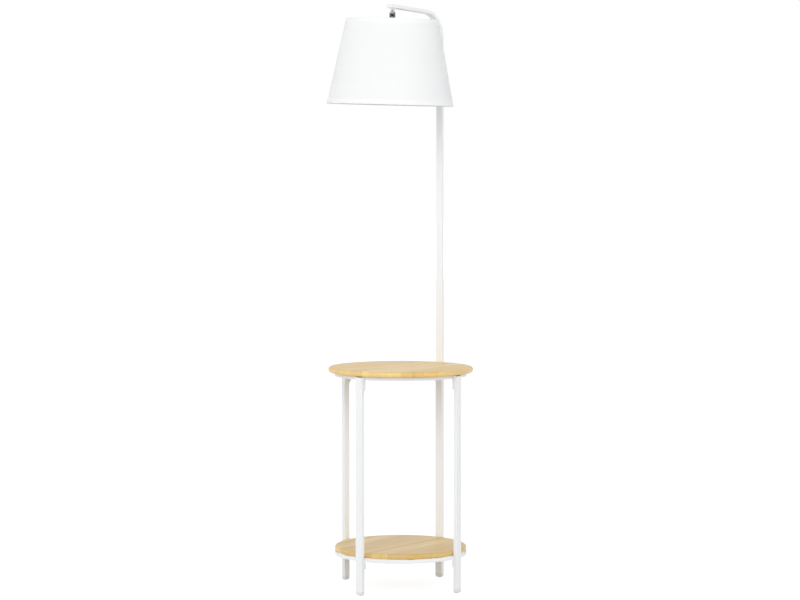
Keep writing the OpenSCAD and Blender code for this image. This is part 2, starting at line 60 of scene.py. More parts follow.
JOINTS = {joint["name"]: joint for joint in frame["joints"]}
SLOT_OF = {part["node"]: part["material_slot"] for part in frame["record"]["subparts"]}
LEGS = {"front": -90, "right": 0, "rear": 90, "left": 180}
LUG_ANGLES = (45, 135, 225, 315)


def middle(node):
    low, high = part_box(node)
    return (low + high) / 2


TABLE_AXIS = Vector((0, middle("shelf_board").y, 0))
STEM_FOOT = Vector(JOINTS["head_turn"]["pos_m"])
STEM_UP = Vector(JOINTS["head_turn"]["axis"]).normalized()
PIN = Vector(JOINTS["head_tilt"]["pos_m"])


def upright(origin, up):
    """A frame with +Z along up and +X as near the world's as that allows."""
    side = (Vector((1, 0, 0)) - up * up.x).normalized()
    turned = Matrix((side, up.cross(side), up)).transposed()
    return Matrix.Translation(origin) @ turned.to_4x4()


# The stem's frame starts on the arm's underside. The head's axis runs from the middle of the
# shade's lower ring up through the pin, and its frame starts as far above the pin as the stem's.
STEM = upright(STEM_FOOT, STEM_UP)
HEAD_UP = (PIN - middle("shade_bottom_ring")).normalized()
HEAD = upright(PIN + HEAD_UP * (STEM_FOOT - PIN).length, HEAD_UP)

SAME_HEIGHT = 0.1 * MM   # corners this close in height lie in one level


def span(node, place=HEAD):
    """A node's upper end, lower end and outer radius, in one of these frames."""
    inverse = place.inverted()
    points = [inverse @ v.co for v in frame["nodes"][node].data.vertices]
    heights = [p.z for p in points]
    return max(heights), min(heights), max(math.hypot(p.x, p.y) for p in points)


def ring_radii(node, height, place=HEAD):
    """Smallest and largest radius of a node's corners at one height, in one of these frames."""
    inverse = place.inverted()
    points = [inverse @ v.co for v in frame["nodes"][node].data.vertices]
    radii = [math.hypot(p.x, p.y) for p in points if abs(p.z - height) < SAME_HEIGHT]
    return min(radii), max(radii)


def bore_along_y(node):
    """The radius of the hole through a node, about its own middle along Y."""
    at = middle(node)
    return min(math.hypot(v.co.x - at.x, v.co.z - at.z) for v in frame["nodes"][node].data.vertices)


def turned_to(degrees, at):
    """Turned about the table's axis, and moved there."""
    about = Matrix.Translation(TABLE_AXIS) @ Matrix.Rotation(math.radians(degrees), 4, "Z")
    return about @ Matrix.Translation(Vector(at))


def axis_to(towards):
    """The turn that takes +Z to a direction."""
    return Vector(towards).to_track_quat("Z", "Y").to_matrix().to_4x4()


# ---- Materials ----

NOISE_LOW, NOISE_HIGH = 0.3, 0.7   # nearly all of a noise lies between these


class Finish:
    """A procedural material: one Principled shader, fed by texture nodes."""

    def __init__(self, name, **sockets):
        self.material = bpy.data.materials.new(name)
        self.material.use_nodes = True
        self.tree = self.material.node_tree
        self.shader = self.tree.nodes["Principled BSDF"]
        for socket, value in sockets.items():
            self.set(socket.replace("_", " "), value)

    def set(self, socket, value):
        self.feed(self.shader.inputs[socket], value)

    def feed(self, socket, value):
        """Gives a socket another node's output, or a plain value."""
        if isinstance(value, bpy.types.NodeSocket):
            self.tree.links.new(value, socket)
        else:
            socket.default_value = value

    def node(self, kind, inputs=(), **settings):
        made = self.tree.nodes.new("ShaderNode" + kind)
        for key, value in settings.items():
            setattr(made, key, value)
        for key, value in dict(inputs).items():
            self.feed(made.inputs[key], value)
        return made

    def placed(self, vector, scale, shift=(0, 0, 0)):
        """A place stretched and shifted."""
        inputs = {"Vector": vector, "Scale": scale, "Location": shift}
        return self.node("Mapping", inputs).outputs["Vector"]

    def where(self, scale=(1, 1, 1), shift=(0, 0, 0)):
        """The place on the object in metres, stretched and shifted."""
        return self.placed(self.node("TexCoord").outputs["Object"], scale, shift)

    def noise(self, scale, detail, vector=None, rough=0.5):
        inputs = {"Scale": scale, "Detail": detail, "Roughness": rough}
        inputs["Vector"] = vector or self.where()
        return self.node("TexNoise", inputs).outputs["Fac"]

    def math(self, operation, a, b=0.0):
        return self.node("Math", {0: a, 1: b}, operation=operation).outputs[0]

    def map(self, value, low, high, to_low=0.0, to_high=1.0):
        inputs = {"Value": value, "From Min": low, "From Max": high, "To Min": to_low, "To Max": to_high}
        return self.node("MapRange", inputs).outputs["Result"]

    def spread(self, noise, low, high):
        """A noise stretched over a range."""
        return self.map(noise, NOISE_LOW, NOISE_HIGH, low, high)

    def mix(self, factor, a, b):
        made = self.node("Mix", data_type="RGBA")
        colours = [s for s in made.inputs if s.type == "RGBA"]
        self.feed(made.inputs["Factor"], factor)
        self.feed(colours[0], a)
        self.feed(colours[1], b)
        return next(s for s in made.outputs if s.type == "RGBA")

    def mottled(self, pattern, colour, dimmest):
        """A colour that a pattern dims, down to a share of itself."""
        return self.mix(pattern, shaded(colour, dimmest), colour)

    def bump(self, height, depth, strength):
        inputs = {"Height": height, "Distance": depth, "Strength": strength}
        return self.node("Bump", inputs).outputs["Normal"]


def rgb(red, green, blue):
    return (red, green, blue, 1.0)


def shaded(colour, share):
    return rgb(*(channel * share for channel in colour[:3]))


def grained(name, colour, mottle, gloss, relief, **sockets):
    """A finish with three noises over it, each with its scale and detail first.

    mottle ends with the dimmest share of the colour, gloss with the least and most roughness, and
    relief with the depth and strength of its bumps."""
    made = Finish(name, **sockets)
    scale, detail, dimmest = mottle
    made.set("Base Color", made.mottled(made.noise(scale, detail), colour, dimmest))
    scale, detail, least, most = gloss
    made.set("Roughness", made.spread(made.noise(scale, detail), least, most))
    scale, detail, depth, strength = relief
    made.set("Normal", made.bump(made.noise(scale, detail), depth, strength))
    return made.material


def powder_coat():
    """Fine white powder coat with the faint texture of its cured grains."""
    return grained("powder_coat", rgb(0.9, 0.905, 0.905), mottle=(9, 3, 0.975), gloss=(420, 2, 0.4, 0.52),
                   relief=(1500, 3, 0.05 * MM, 0.35), Specular_IOR_Level=0.4)


def moulded_plastic(name, colour, smoothness):
    """Moulded plastic with a fine spark-eroded grain."""
    return grained(name, colour, mottle=(45, 3, 0.96), gloss=(900, 2, 0.95 - smoothness, 1.05 - smoothness),
                   relief=(2600, 2, 0.03 * MM, 0.3), Specular_IOR_Level=0.45)


def rubber():
    return grained("soft_rubber", rgb(0.66, 0.66, 0.65), mottle=(120, 3, 0.93), gloss=(800, 2, 0.66, 0.8),
                   relief=(2200, 2, 0.04 * MM, 0.4), Specular_IOR_Level=0.3)


def ceramic():
    return grained("unglazed_ceramic", rgb(0.74, 0.7, 0.6), mottle=(300, 4, 0.9), gloss=(500, 2, 0.55, 0.72),
                   relief=(1800, 4, 0.05 * MM, 0.4), Specular_IOR_Level=0.35)


def opal_glass():
    """Frosted opal glass: white, with a soft gloss over it."""
    return grained("opal_glass", rgb(0.9, 0.9, 0.88), mottle=(30, 2, 0.97), gloss=(700, 2, 0.3, 0.42),
                   relief=(900, 2, 0.02 * MM, 0.15), Coat_Weight=0.5, Coat_Roughness=0.12)


# From a little below the arm upwards, the swivel's plating is given a lighter grey colour.
LIGHTER_GREY = rgb(0.6, 0.6, 0.61)
SHOULDER_AT = STEM_FOOT.z - 13 * MM   # where the swivel's bright neck ends
DRAWN_OUT = (1, 1, 30)                # how fine the drawing marks are along each axis


def plated(name, colour, rough, brushed=0.0, lighter_from=None):
    """Plated or rolled metal with faint drawing marks, and a lighter grey colour from some height up."""
    made = Finish(name, Metallic=1.0)
    marks = made.noise(60, 4, made.where(DRAWN_OUT))
    base = made.mottled(marks, colour, 0.88)
    # Above the given height, the base colour turns to a lighter grey.
    if lighter_from:
        height = made.node("SeparateXYZ", {0: made.where()}).outputs["Z"]
        base = made.mix(made.map(height, lighter_from - MM, lighter_from + MM), base, LIGHTER_GREY)
    made.set("Base Color", base)
    made.set("Roughness", made.spread(made.noise(300, 3), rough * 0.8, rough * 1.25))
    made.set("Normal", made.bump(marks, 0.02 * MM, 0.15 + brushed))
    return made.material


STRIP = 21 * MM       # width of a bamboo strip
STRIP_OFFSET = 0.37   # share of a strip by which the next board's strips lie off the last one's
BOARD_OFFSET = 31     # strips between two boards in the row that all tones come from
SLIDE = 7             # how far a strip's pattern may slide along it, in metres
KNUCKLE_STEP = 0.24   # usual distance between two knuckles of a strip
KNUCKLE_HALF = 2.6 * MM
KNUCKLE_BEND = 4 * MM
KNUCKLE_SLIDE = 3     # steps by which a strip's knuckles may lie off the next one's
GLUE_HALF = 0.35 * MM
DRAWN_FINE, DRAWN_BROAD = (1, 0.035, 1), (1, 0.3, 1)   # how fibres and clouds are drawn out

PALE, HONEY = rgb(0.99, 0.77, 0.34), rgb(0.85, 0.56, 0.16)
CLOUD, STREAK, FIBRE = rgb(0.78, 0.52, 0.19), rgb(0.74, 0.47, 0.15), rgb(0.78, 0.5, 0.17)
KNUCKLE, GLUE = rgb(0.5, 0.3, 0.12), rgb(0.55, 0.35, 0.15)


def bamboo(name, seed, painted_shade_share, specular):
    """Lacquered bamboo board: strips along +Y, each with its own tone, fibres and knuckles."""
    made = Finish(name, Specular_IOR_Level=specular)
    place = made.where(shift=(seed * STRIP * STRIP_OFFSET, 0, 0))
    parts = made.node("SeparateXYZ", {0: place}).outputs
    strips = made.math("DIVIDE", parts["X"], STRIP)
    strip = made.math("ADD", made.math("FLOOR", strips), seed * BOARD_OFFSET)
    tone = made.node("TexWhiteNoise", {"W": strip}, noise_dimensions="1D")
    own_slide, own_shift, own_tone = made.node("SeparateColor", {0: tone.outputs["Color"]}).outputs

    # Long thin fibres and streaks, and clouds: each strip's are its own, slid along it
    slid = made.node("CombineXYZ", {0: strip, 1: made.math("MULTIPLY", own_slide, SLIDE)})
    moved = made.node("VectorMath", {0: place, 1: slid.outputs[0]}, operation="ADD").outputs[0]
    drawn = made.placed(moved, DRAWN_FINE)
    fibres = made.noise(1100, 3, drawn, rough=0.65)
    streaks = made.noise(210, 3, drawn, rough=0.6)
    clouds = made.noise(12, 2, made.placed(moved, DRAWN_BROAD))

    # Knuckles: a thin darker band across the strip now and then
    bend = made.math("MULTIPLY", made.noise(60, 2, moved), KNUCKLE_BEND)
    steps = made.math("DIVIDE", made.math("ADD", parts["Y"], bend), KNUCKLE_STEP)
    steps = made.math("ADD", steps, made.math("MULTIPLY", own_shift, KNUCKLE_SLIDE))
    knuckle = made.map(from_middle(made, steps), 0.0, KNUCKLE_HALF / KNUCKLE_STEP, 1.0, 0.0)

    # Glue lines between the strips, a hair wide
    glue = made.map(from_middle(made, strips), 0.5 - GLUE_HALF / STRIP, 0.5)

    # The share passed in dims the pale, honey, cloud and streak colours. Below 1 it is painted shade: a darker
    # copy of the same bamboo for a board that lies in shade.
    base = made.mix(own_tone, shaded(PALE, painted_shade_share), shaded(HONEY, painted_shade_share))
    base = made.mix(made.map(clouds, 0.4, 0.65, 0.0, 0.7), base, shaded(CLOUD, painted_shade_share))
    base = made.mix(made.map(streaks, 0.42, 0.68, 0.0, 0.45), base, shaded(STREAK, painted_shade_share))
    base = made.mix(made.map(fibres, 0.45, 0.7, 0.0, 0.35), base, FIBRE)
    base = made.mix(made.math("MULTIPLY", knuckle, 0.45), base, KNUCKLE)
    base = made.mix(made.math("MULTIPLY", glue, 0.4), base, GLUE)
    made.set("Base Color", base)
    made.set("Roughness", made.spread(streaks, 0.3, 0.42))
    sunk = made.math("MULTIPLY", made.math("ADD", glue, knuckle), 0.6)
    made.set("Normal", made.bump(made.math("SUBTRACT", fibres, sunk), 0.06 * MM, 0.35))
    return made.material


def from_middle(made, steps):
    """How far a value lies from the middle between two whole numbers."""
    return made.math("ABSOLUTE", made.math("SUBTRACT", made.math("FRACT", steps), 0.5))


THREAD = 0.62 * MM               # distance between two threads of the shade's cloth
SLUB_THIN, SLUB_LONG = 6, 0.05   # a slub is fine across its thread and long along it


def cloth(name, colour, through=0.0):
    """Plain-woven cloth, laid out by the piece's own map in metres, letting some light through."""
    made = Finish(name, Specular_IOR_Level=0.15, Sheen_Weight=0.15)
    spot = made.node("UVMap", uv_map="laid_flat").outputs[0]
    uneven = made.noise(260, 2, spot)
    waves = []
    for way in made.node("SeparateXYZ", {0: spot}).outputs[:2]:
        waves.append(made.math("SINE", made.math("ADD", made.math("DIVIDE", way, THREAD / TURN), uneven)))
    checks = made.math("MULTIPLY", *waves)
    long_slub = made.noise(240, 2, made.placed(spot, (SLUB_LONG, SLUB_THIN, 1)))
    tall_slub = made.noise(240, 2, made.placed(spot, (SLUB_THIN, SLUB_LONG, 1)))
    slub = made.math("ADD", long_slub, tall_slub)
    weave = made.math("ADD", made.math("MULTIPLY", checks, 0.35), slub)
    made.set("Base Color", made.mottled(made.map(weave, 0.6, 1.4), colour, 0.965))
    made.set("Roughness", made.map(slub, 0.7, 1.3, 0.8, 0.92))
    normal = made.bump(weave, 0.16 * MM, 0.5)
    made.set("Normal", normal)
    if through:
        glow = made.node("BsdfTranslucent", {"Color": colour, "Normal": normal})
        both = made.node("MixShader", {0: through, 1: made.shader.outputs[0], 2: glow.outputs[0]})
        out = next(n for n in made.tree.nodes if n.type == "OUTPUT_MATERIAL")
        made.tree.links.new(both.outputs[0], out.inputs["Surface"])
    return made.material


FINISHES = {
    "board_wood": bamboo("bamboo_top", seed=1, painted_shade_share=1.0, specular=0.42),
    "white_steel": powder_coat(),
    "foot_plastic": moulded_plastic("foot_plastic", rgb(0.82, 0.82, 0.81), 0.45),
    "white_plastic": moulded_plastic("white_plastic", rgb(0.85, 0.85, 0.84), 0.5),
    "black_plastic": moulded_plastic("black_plastic", rgb(0.02, 0.02, 0.02), 0.45),
    "zinc_steel": plated("zinc_plating", rgb(0.66, 0.66, 0.67), 0.32),
    "grommet_rubber": rubber(),
    "dark_chrome": plated("dark_plating", rgb(0.12, 0.12, 0.125), 0.16, lighter_from=SHOULDER_AT),
    "holder_plastic": moulded_plastic("holder_plastic", rgb(0.84, 0.84, 0.82), 0.62),
    "holder_ceramic": ceramic(),
    "contact_brass": plated("bright_brass", rgb(0.78, 0.56, 0.22), 0.22),
    "shade_cloth": cloth("shade_cloth", rgb(0.97, 0.97, 0.965), through=0.14),
    "white_wire": moulded_plastic("coated_wire", rgb(0.82, 0.82, 0.81), 0.55),
    "bulb_opal": opal_glass(),
    "bulb_metal": plated("rolled_aluminium", rgb(0.78, 0.78, 0.77), 0.3, brushed=0.2),
}
# Painted shade: the shelf is the same bamboo as the top, with its colours dimmed to 0.84 to stand in for the shade
# under the table top.
SHADED_SHELF_WOOD = bamboo("bamboo_shelf_painted_shade", seed=4, painted_shade_share=0.84, specular=0.55)
TRIM_CLOTH = cloth("trim_cloth", rgb(0.925, 0.925, 0.92))


def finish_nodes():
    """Gives every carried-over solid the finish of its material slot."""
    for name, node in frame["nodes"].items():
        for slot in node.material_slots:
            slot.link = "OBJECT"
            slot.material = FINISHES[SLOT_OF[name]]


# ---- Making pieces ----

ROUND_STEPS = 96                  # steps round a turned piece
SMOOTH_BELOW = math.radians(35)   # edges less sharp than this look round
ONE_POINT = 1e-6                  # corners closer than this are one


def new_object(name, data):
    made = bpy.data.objects.new(name, data)
    bpy.context.scene.collection.objects.link(made)
    return made


def piece(name, mesh, body, slot, replaced=(), material=None):
    """Puts a mesh in the scene as a finished piece that rides on a body."""
    made = new_object(name, mesh)
    mesh.materials.append(material or FINISHES[slot])
    mesh.shade_smooth()
    mesh.set_sharp_from_angle(angle=SMOOTH_BELOW)
    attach(made, body)
    if replaced:
        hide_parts(*replaced)
    return made


def mesh_of(name, build, place):
    """A mesh filled by build(bm), then moved to its place."""
    bm = bmesh.new()
    bm.loops.layers.uv.new("laid_flat")
    build(bm)
    bmesh.ops.recalc_face_normals(bm, faces=bm.faces)
    bmesh.ops.transform(bm, matrix=place, verts=bm.verts)
    mesh = bpy.data.meshes.new(name)
    bm.to_mesh(mesh)
    bm.free()
    return mesh


def grid(bm, rows, closed_rows=False, closed_columns=True, flat=None):
    """Joins rows of points into a skin. flat(row, column) gives each corner's place laid flat."""
    points = [[bm.verts.new(p) for p in row] for row in rows]
    layer = bm.loops.layers.uv.active
    down, across = len(rows), len(rows[0])
    for i in range(down if closed_rows else down - 1):
        for j in range(across if closed_columns else across - 1):
            corners = [(i, j), (i, j + 1), (i + 1, j + 1), (i + 1, j)]
            face = bm.faces.new([points[a % down][b % across] for a, b in corners])
            if flat:
                for loop, (a, b) in zip(face.loops, corners):
                    loop[layer].uv = flat(a, b)
    return points


def eased(corners, steps=6):
    """An outline with round corners: corners are (radius, height, rounding)."""
    made = []
    count = len(corners)
    for i, (x, y, ease) in enumerate(corners):
        if not ease:
            made.append((x, y))
            continue
        here = Vector((x, y))
        before = (Vector(corners[i - 1][:2]) - here).normalized()
        after = (Vector(corners[(i + 1) % count][:2]) - here).normalized()
        half = before.angle(after) / 2
        reach = ease / math.tan(half)
        centre = here + (before + after).normalized() * ease / math.sin(half)
        start, end = here + before * reach - centre, here + after * reach - centre
        for k in range(steps + 1):
            made.append(tuple(centre + start.lerp(end, k / steps).normalized() * ease))
    return made


def lathe(outline, place, segments=ROUND_STEPS):
    """A closed outline of (radius, height) turned about its axis. A radius may be a function of angle."""

    def build(bm):
        def at(step, radius, height):
            angle = TURN * step / segments
            out = radius(angle) if callable(radius) else radius
            return Vector((out * math.cos(angle), out * math.sin(angle), height))

        grid(bm, [[at(k, r, z) for k in range(segments)] for r, z in outline], closed_rows=True)
        bmesh.ops.remove_doubles(bm, verts=bm.verts, dist=ONE_POINT)
        for bare in [edge for edge in bm.edges if not edge.link_faces]:     # left on the axis
            bm.edges.remove(bare)

    return mesh_of("turned", build, place)


def ribbed(radius, depth, count):
    """A radius with count rounded ribs round it."""
    return lambda angle: radius - depth * (0.5 - 0.5 * math.cos(count * angle))


def hexagon(flat_radius):
    """A radius that runs round a hexagon."""
    sixth = TURN / 6
    return lambda angle: flat_radius / math.cos((angle % sixth) - sixth / 2)


def threaded(radius, depth, pitch, height):
    """A radius on a screw thread at one height."""
    return lambda angle: radius - depth * (0.5 - 0.5 * math.cos(TURN * height / pitch - angle))


def thread_run(radius, depth, pitch, top, bottom, fineness):
    """A thread's outline from its top to its bottom, with so many levels to each turn of it."""
    steps = round((top - bottom) / (pitch / fineness))
    heights = [top + (bottom - top) * k / steps for k in range(steps + 1)]
    return [(threaded(radius, depth, pitch, z), z) for z in heights]


def soft_rectangle(x, y, corner):
    """Corners of a rectangle with rounded corners, as (x, y) points."""
    half_x, half_y = x / 2, y / 2
    return eased([(half_x, half_y, corner), (-half_x, half_y, corner),
                  (-half_x, -half_y, corner), (half_x, -half_y, corner)])


def loft(levels, place):
    """A closed skin through level outlines: levels are (height, outline), its ends capped."""

    def build(bm):
        points = grid(bm, [[Vector((x, y, z)) for x, y in outline] for z, outline in levels])
        bm.faces.new(points[0])
        bm.faces.new(reversed(points[-1]))

    return mesh_of("lofted", build, place)


def joined(name, meshes):
    """Several meshes as one."""
    bm = bmesh.new()
    for mesh in meshes:
        bm.from_mesh(mesh)
        bpy.data.meshes.remove(mesh)
    whole = bpy.data.meshes.new(name)
    bm.to_mesh(whole)
    bm.free()
    return whole


# Carried-over solids whose sharp edges are rounded, and by how many millimetres
SOFTENED = {
    "upper_ring": 0.3, "lower_ring": 0.3, "swivel_fork": 0.5, "swivel_eye": 0.4, "swivel_pin": 0.3,
    "arm_end_cap": 0.5, "holder_core": 0.4, "stem_nut": 0.3, "holder_nut": 0.3, "stem_washer": 0.15,
    "leg_nuts": 0.25, "pole_nut": 0.25, "centre_contact": 0.3,
}
SHARP_ABOVE = math.radians(50)
WELD_WITHIN = 1e-5


def soften_nodes():
    """Rounds those edges by modifiers, the solids' own meshes left as they are."""
    for node, width in SOFTENED.items():
        target = frame["nodes"][node]
        weld = target.modifiers.new("join_corners", "WELD")
        weld.merge_threshold = WELD_WITHIN
        bevel = target.modifiers.new("ease_edges", "BEVEL")
        bevel.width = width * MM
        bevel.segments = 2
        bevel.limit_method = "ANGLE"
        bevel.angle_limit = SHARP_ABOVE
        bevel.harden_normals = True


# ---- Table ----

BOARD_STEPS = 288       # steps round a board
BOARD_EASE = 6.5 * MM   # rounding of a board's rim
BOARD_EASE_STEPS = 12
BOARD_FLAT = 2 * MM     # flat strip just inside that rounding, which keeps its shading clean
NOTCH_GAP = 1 * MM
NOTCH_EASE = 0.6 * MM


def board_profile(node):
    """The board's rounded rim from its underside to its top, as (radius, height)."""
    low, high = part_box(node)
    centre = (high.x - low.x) / 2 - BOARD_EASE
    inner = centre - BOARD_FLAT
    turns = [TURN / 4 * k / BOARD_EASE_STEPS for k in range(BOARD_EASE_STEPS + 1)]
    arc = [(BOARD_EASE * math.sin(a), BOARD_EASE * (1 - math.cos(a))) for a in turns]
    lower = [(centre + out, low.z + up) for out, up in arc]
    upper = [(centre + out, high.z - down) for out, down in reversed(arc)]
    return [(inner, low.z)] + lower + upper + [(inner, high.z)]


def notch_size():
    """Half the notch's width, and its floor's distance from the table's axis."""
    low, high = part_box("rear_leg")
    return (high.x - low.x) / 2 + NOTCH_GAP, low.y - NOTCH_GAP - TABLE_AXIS.y


def cut_notch(bm, points, half, floor):
    """Closes the faces of an open board round its notch, and eases the notch's edges."""
    edges = []
    inside = []
    for row in (points[0], points[-1]):
        height = row[0].co.z
        left, right = bm.verts.new((-half, floor, height)), bm.verts.new((half, floor, height))
        bm.faces.new(row + [right, left])
        inside.append((left, right))
        edges += [(row[0], left), (left, right), (right, row[-1])]
    (under_left, under_right), (top_left, top_right) = inside
    bm.faces.new([row[0] for row in points] + [top_left, under_left])
    bm.faces.new([row[-1] for row in points] + [top_right, under_right])
    bm.faces.new([under_left, under_right, top_right, top_left])
    bmesh.ops.recalc_face_normals(bm, faces=bm.faces)
    bmesh.ops.bevel(bm, geom=[bm.edges.get(pair) for pair in edges], offset=NOTCH_EASE, segments=2,
                    profile=0.5, affect="EDGES", clamp_overlap=True)


def board_mesh(node, notched):
    """A round board with a rounded rim, and at the back an open notch for the pole."""
    half, floor = notch_size() if notched else (0.0, 0.0)
    count = BOARD_STEPS + (1 if notched else 0)

    def around(radius, height):
        gap = math.asin(half / radius)
        start, run = TURN / 4 + gap, TURN - 2 * gap
        angles = [start + run * k / BOARD_STEPS for k in range(count)]
        return [Vector((radius * math.cos(a), radius * math.sin(a), height)) for a in angles]

    def build(bm):
        points = grid(bm, [around(r, z) for r, z in board_profile(node)], closed_columns=not notched)
        if notched:
            cut_notch(bm, points, half, floor)
        else:
            bm.faces.new(list(reversed(points[0])))
            bm.faces.new(points[-1])

    return mesh_of(node + "_panel", build, Matrix.Translation(TABLE_AXIS))


def make_boards():
    piece("top_panel", board_mesh("top_board", True), "stand", "board_wood", ["top_board"])
    piece("shelf_panel", board_mesh("shelf_board", False), "stand", "board_wood", ["shelf_board"],
          SHADED_SHELF_WOOD)


FOOT_CORNER = 1.5 * MM
FOOT_ROUND = 7 * MM                   # height of the rounding under a foot
FOOT_ROUND_STEPS = 10
TREAD_IN_X, TREAD_IN_Y = 0.36, 0.45   # shares that the tread is drawn in by on each side
TREAD_CORNER = 0.3                    # share that its corners are tighter by
SHADOW_LINE = ((1.2, 0), (0.9, 0.35), (0.3, 0.35), (0, 0))   # millimetres below the tube, and deep
TUBE_WALL = 1.1 * MM
PLUG_EASE = 0.5 * MM
PLUG_TIP_CORNER = 0.4 * MM


def foot_levels(height, x, y, plug_height):
    """The foot's outlines from its rounded tread up to the plug inside the tube."""

    def drawn_in(by_x, by_y, corner=FOOT_CORNER):
        return soft_rectangle(x - 2 * by_x, y - 2 * by_y, corner)

    levels = []
    for k in range(FOOT_ROUND_STEPS + 1):
        up = k / FOOT_ROUND_STEPS
        share = 1 - math.sqrt(1 - (1 - up) ** 2)
        corner = FOOT_CORNER * (1 - TREAD_CORNER * share)
        tread = drawn_in(x * TREAD_IN_X * share, y * TREAD_IN_Y * share, corner)
        levels.append((FOOT_ROUND * up, tread))
    for below, deep in SHADOW_LINE:
        levels.append((height - below * MM, drawn_in(deep * MM, deep * MM)))
    plug = drawn_in(TUBE_WALL, TUBE_WALL, PLUG_EASE)
    tip = drawn_in(TUBE_WALL + PLUG_EASE, TUBE_WALL + PLUG_EASE, PLUG_TIP_CORNER)
    return levels + [(height, plug), (plug_height - PLUG_EASE, plug), (plug_height, tip)]


def make_feet():
    """Rounded feet, each with the thin shadow line where it meets its tube."""
    for leg, angle in LEGS.items():
        node = leg + "_foot"
        low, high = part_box(node)
        depth, width = sorted((high.x - low.x, high.y - low.y))
        tube_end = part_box(leg + "_leg")[0].z
        out = (middle(node) - TABLE_AXIS).to_2d().length
        foot = loft(foot_levels(tube_end, depth, width, high.z), turned_to(angle, (out, 0, 0)))
        piece(leg + "_foot_cap", foot, "stand", "foot_plastic", [node])


SCREW_STEPS = 48         # steps round a screw or another small piece
SCREW_HEAD_R = 3.8 * MM
SCREW_HEAD_H = 2.2 * MM
SCREW_RIM = 0.22         # share of the head's height that stands upright below its dome
SHANK_R = 1.9 * MM
SCREW_THREAD = {"depth": 0.25 * MM, "pitch": 0.8 * MM, "fineness": 4}
SOCKET_R = 1.3 * MM      # from the middle of the hexagonal socket to a flat
SOCKET_DEEP = 1.3 * MM
SOCKET_MOUTH = 1.35      # the dome ends this many times as far out
SOCKET_EDGE = 0.93       # share of the head's height where its chamfer starts
SCREW_CHAMFER = 0.15 * MM
SEAT_EDGE = 0.1 * MM
DOME_STEP = math.radians(6)
CRADLE_DEPTH = 11 * MM   # from the outer face of a hoop's cradle in to its screw's seat


def button_screw(length):
    """A button-head screw: its seat at height 0, its head above and its threaded shank below."""
    socket = hexagon(SOCKET_R)
    floor = SCREW_HEAD_H - SOCKET_DEEP
    turns = [DOME_STEP * k for k in range(12)]
    dome = [(SCREW_HEAD_R * math.cos(a), SCREW_HEAD_H * (SCREW_RIM + (1 - SCREW_RIM) * math.sin(a)))
            for a in turns if SCREW_HEAD_R * math.cos(a) > SOCKET_R * SOCKET_MOUTH]
    head = [(0, floor), (socket, floor), (socket, SCREW_HEAD_H * SOCKET_EDGE),
            (lambda angle: socket(angle) + SCREW_CHAMFER, SCREW_HEAD_H)] + dome[::-1]
    seat = [(SCREW_HEAD_R, SEAT_EDGE), (SCREW_HEAD_R - SCREW_CHAMFER, 0), (SHANK_R, 0)]
    thread = thread_run(SHANK_R, top=0, bottom=-length, **SCREW_THREAD)[1:-1]
    return head + seat + thread + [(SHANK_R - SCREW_THREAD["depth"], -length), (0, -length)]


def screws_round(node, length, angles, seat, facing):
    """The same screw at several angles round the table's axis, in the place of the plain ones."""
    outline = button_screw(length)
    meshes = [lathe(outline, turned_to(angle, seat) @ axis_to(facing), SCREW_STEPS) for angle in angles]
    piece(node + "_detail", joined(node, meshes), "stand", "zinc_steel", [node])


def make_screws():
    """Button-head screws in the legs, in the boards and behind the pole's joint."""
    for node in ("upper_leg_screws", "lower_leg_screws"):
        low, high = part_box(node)
        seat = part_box("upper_ring")[1].x - CRADLE_DEPTH
        screws_round(node, high.x - seat, LEGS.values(), (seat, 0, (low.z + high.z) / 2), (-1, 0, 0))
    for node in ("top_board_screws", "shelf_board_screws"):
        low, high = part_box(node)
        out = math.hypot(high.x - SCREW_HEAD_R, high.x - SCREW_HEAD_R)
        seat = low.z + SCREW_HEAD_H
        screws_round(node, high.z - seat, LUG_ANGLES, (out, 0, seat), (0, 0, -1))
    low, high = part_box("pole_screw")
    seat = high.y - SCREW_HEAD_H
    place = Matrix.Translation((0, seat, (low.z + high.z) / 2)) @ axis_to((0, 1, 0))
    screw = lathe(button_screw(seat - low.y), place, SCREW_STEPS)
    piece("pole_screw_detail", screw, "stand", "zinc_steel", ["pole_screw"])


# ---- Shade ----

SHADE_STEPS = 288        # steps round the shade
SEAM_AT = math.radians(100)
CLOTH_LAP = 14 * MM      # where the cloth's two ends are glued over each other
CLOTH_ROWS = 10
CLOTH_FREE = 1.1 * MM    # the cloth ends this far inside the trim's fold
TRIM_SEAM_AT = SEAM_AT + math.radians(8)
TRIM_LAP = 8 * MM
HEM_TALL = 15 * MM       # how far the trim reaches over the cloth, outside
HEM_INSIDE = 0.9         # and inside, as a share of that
HEM_THICK = 0.4 * MM
HEM_GAP = 0.05 * MM      # between the trim and the wire
WIRE_R = 1.5 * MM
WIRE_IN = 0.8 * MM       # from the rim to the wire
WIRE_BEHIND = 0.2 * MM   # from the cloth's inner face to the wire
FOLD_STEPS = 12          # steps round the wire
TUCK_FROM = 0.4 * MM     # past the wire's middle, where the trim starts back towards the cloth
TUCK_RUN = 4 * MM        # and the length over which it reaches it
TUCK_STEPS = 6


def smooth(share):
    """A share from 0 to 1 that starts and ends gently."""
    return share * share * (3 - 2 * share)


